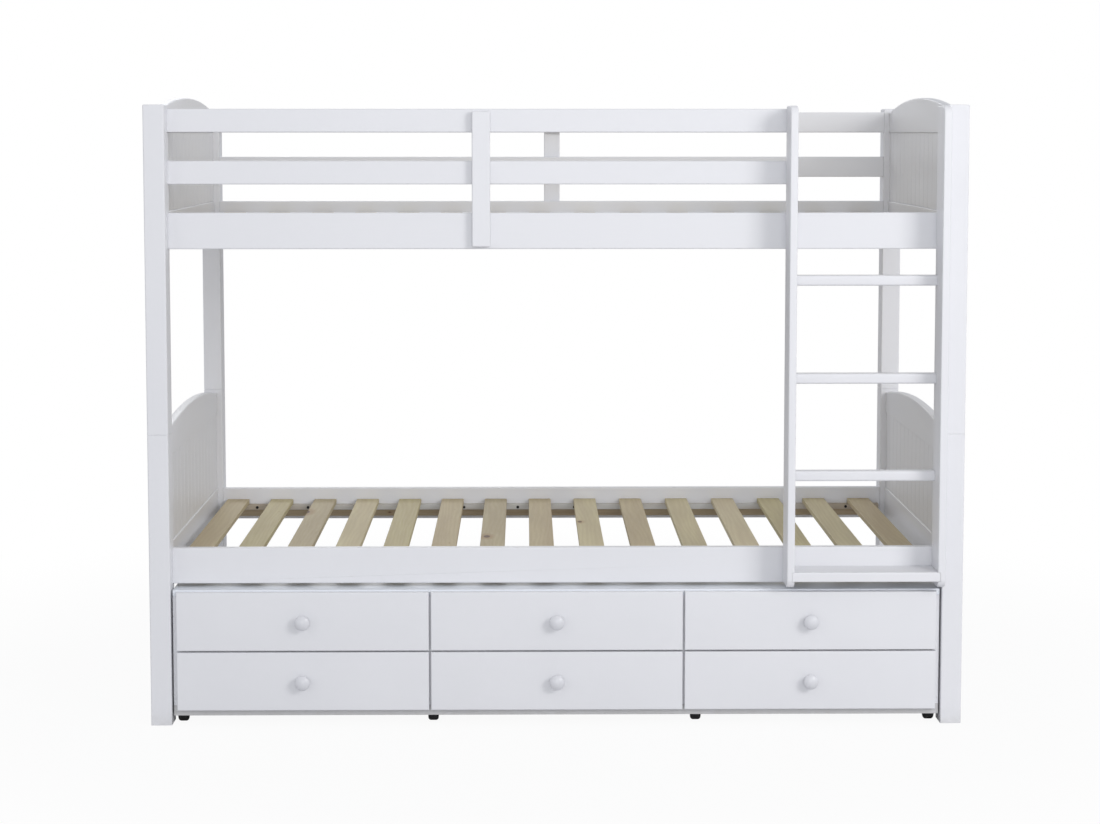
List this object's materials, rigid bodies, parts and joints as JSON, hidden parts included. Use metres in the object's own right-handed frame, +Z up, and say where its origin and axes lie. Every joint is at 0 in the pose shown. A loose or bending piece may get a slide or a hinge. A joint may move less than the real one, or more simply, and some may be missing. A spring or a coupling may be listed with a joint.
{
  "type": "bunk bed",
  "caption": "White bunk bed with grooved arched ends, guard rails, pine slats, an upright ladder, and a wheeled chest of drawers that rolls out from under the lower bunk.",
  "frame": {"origin": "on the floor, under the middle of the bed's overall length and depth", "axes": "+X along the bed to the end with the ladder, +Y from the front to the back, +Z up"},
  "size_m": [2.026, 1.125, 1.5679],
  "materials": {
    "white_paint": "satin white paint on wood",
    "pine": "planed, unfinished pine",
    "drawer_birch": "clear-lacquered birch plywood",
    "back_board": "white-faced hardboard",
    "zinc_steel": "zinc plated",
    "black_plastic": "moulded black plastic",
    "fork_metal": "black coated steel",
    "beech": "plain turned beech"
  },
  "bodies": {
    "bed": {"post_lower_front_left": "white_paint", "post_lower_front_right": "white_paint", "side_rail_lower_front": "white_paint", "post_lower_rear_left": "white_paint", "post_lower_rear_right": "white_paint", "side_rail_lower_rear": "white_paint", "arch_rail_lower_left": "white_paint", "grooved_panel_lower_left": "white_paint", "arch_rail_lower_right": "white_paint", "grooved_panel_lower_right": "white_paint", "end_rails_lower": "white_paint", "slats_lower": "pine", "post_upper_front_left": "white_paint", "post_upper_front_right": "white_paint", "side_rail_upper_front": "white_paint", "post_upper_rear_left": "white_paint", "post_upper_rear_right": "white_paint", "side_rail_upper_rear": "white_paint", "arch_rail_upper_left": "white_paint", "grooved_panel_upper_left": "white_paint", "arch_rail_upper_right": "white_paint", "grooved_panel_upper_right": "white_paint", "end_rails_upper": "white_paint", "slats_upper": "pine", "guard_rail_front_middle": "white_paint", "guard_rail_front_top": "white_paint", "guard_post_front": "white_paint", "guard_rail_rear_middle": "white_paint", "guard_rail_rear_top": "white_paint", "guard_post_rear": "white_paint", "ladder_stile_left": "white_paint", "ladder_stile_right": "white_paint", "ladder_rungs": "white_paint", "ladder_tread": "white_paint", "slat_cleats": "pine", "post_pins": "beech", "bed_bolts": "zinc_steel", "barrel_nuts": "zinc_steel"},
    "chest": {"chest_top": "white_paint", "chest_base": "white_paint", "chest_sides": "white_paint", "chest_dividers": "white_paint", "chest_rails": "white_paint", "chest_back": "back_board", "drawer_runners": "drawer_birch", "castor_forks": "fork_metal"},
    "castor_wheels_front": {"castor_wheels_front": "black_plastic"},
    "castor_wheels_rear": {"castor_wheels_rear": "black_plastic"},
    "drawer_1": {"drawer_front_1": "white_paint", "drawer_box_1": "drawer_birch"},
    "drawer_2": {"drawer_front_2": "white_paint", "drawer_box_2": "drawer_birch"},
    "drawer_3": {"drawer_front_3": "white_paint", "drawer_box_3": "drawer_birch"},
    "drawer_4": {"drawer_front_4": "white_paint", "drawer_box_4": "drawer_birch"},
    "drawer_5": {"drawer_front_5": "white_paint", "drawer_box_5": "drawer_birch"},
    "drawer_6": {"drawer_front_6": "white_paint", "drawer_box_6": "drawer_birch"}
  },
  "joints": [
    {"name": "chest_roll", "type": "slide", "parent": "bed", "child": "chest", "axis": [0, -1, 0], "range_m": [0, 0.7]},
    {"name": "castors_front_spin", "type": "hinge", "parent": "chest", "child": "castor_wheels_front", "pos_m": [0, -0.466, 0.02], "axis": [1, 0, 0], "continuous": true},
    {"name": "castors_rear_spin", "type": "hinge", "parent": "chest", "child": "castor_wheels_rear", "pos_m": [0, -0.0015, 0.02], "axis": [1, 0, 0], "continuous": true},
    {"name": "drawer_1_slide", "type": "slide", "parent": "chest", "child": "drawer_1", "axis": [0, -1, 0], "range_m": [0, 0.38]},
    {"name": "drawer_2_slide", "type": "slide", "parent": "chest", "child": "drawer_2", "axis": [0, -1, 0], "range_m": [0, 0.38]},
    {"name": "drawer_3_slide", "type": "slide", "parent": "chest", "child": "drawer_3", "axis": [0, -1, 0], "range_m": [0, 0.38]},
    {"name": "drawer_4_slide", "type": "slide", "parent": "chest", "child": "drawer_4", "axis": [0, -1, 0], "range_m": [0, 0.38]},
    {"name": "drawer_5_slide", "type": "slide", "parent": "chest", "child": "drawer_5", "axis": [0, -1, 0], "range_m": [0, 0.38]},
    {"name": "drawer_6_slide", "type": "slide", "parent": "chest", "child": "drawer_6", "axis": [0, -1, 0], "range_m": [0, 0.38]}
  ],
  "couplings": [
    {"joint": "castors_front_spin", "follows": "chest_roll", "rad_per_m": 50},
    {"joint": "castors_rear_spin", "follows": "chest_roll", "rad_per_m": 50}
  ]
}
